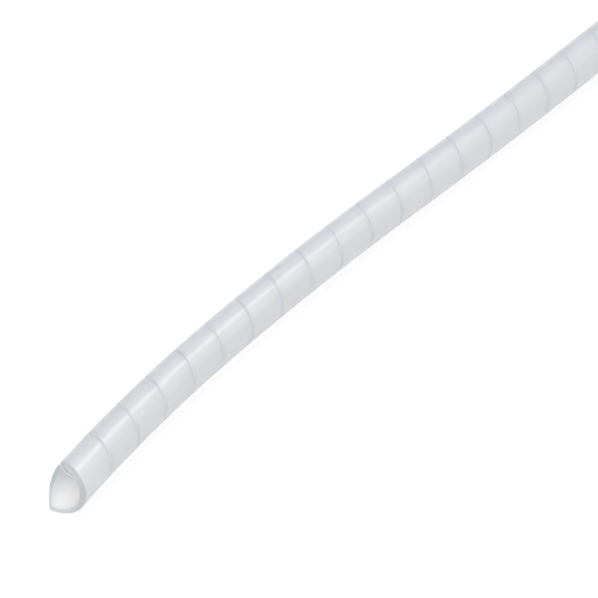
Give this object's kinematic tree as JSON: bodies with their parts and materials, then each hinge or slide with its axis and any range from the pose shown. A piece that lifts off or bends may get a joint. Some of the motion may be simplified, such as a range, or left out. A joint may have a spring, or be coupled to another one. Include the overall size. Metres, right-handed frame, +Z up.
{
  "type": "spiral cable wrap",
  "caption": "Length of translucent milky spiral cable wrap: one helical plastic strip wound into a tube, gently bent, with a slanted snip at one end and a square cut at the other.",
  "frame": {"origin": "middle of the part's box in plan, on the level surface that it lies on", "axes": "+X along the straight run towards the square cut end, +Z up"},
  "size_m": [0.5, 0.0202, 0.012],
  "materials": {
    "milky_polyethylene": "translucent milky white, semi-gloss"
  },
  "bodies": {
    "root": {"spiral_wrap": "milky_polyethylene"}
  },
  "joints": []
}
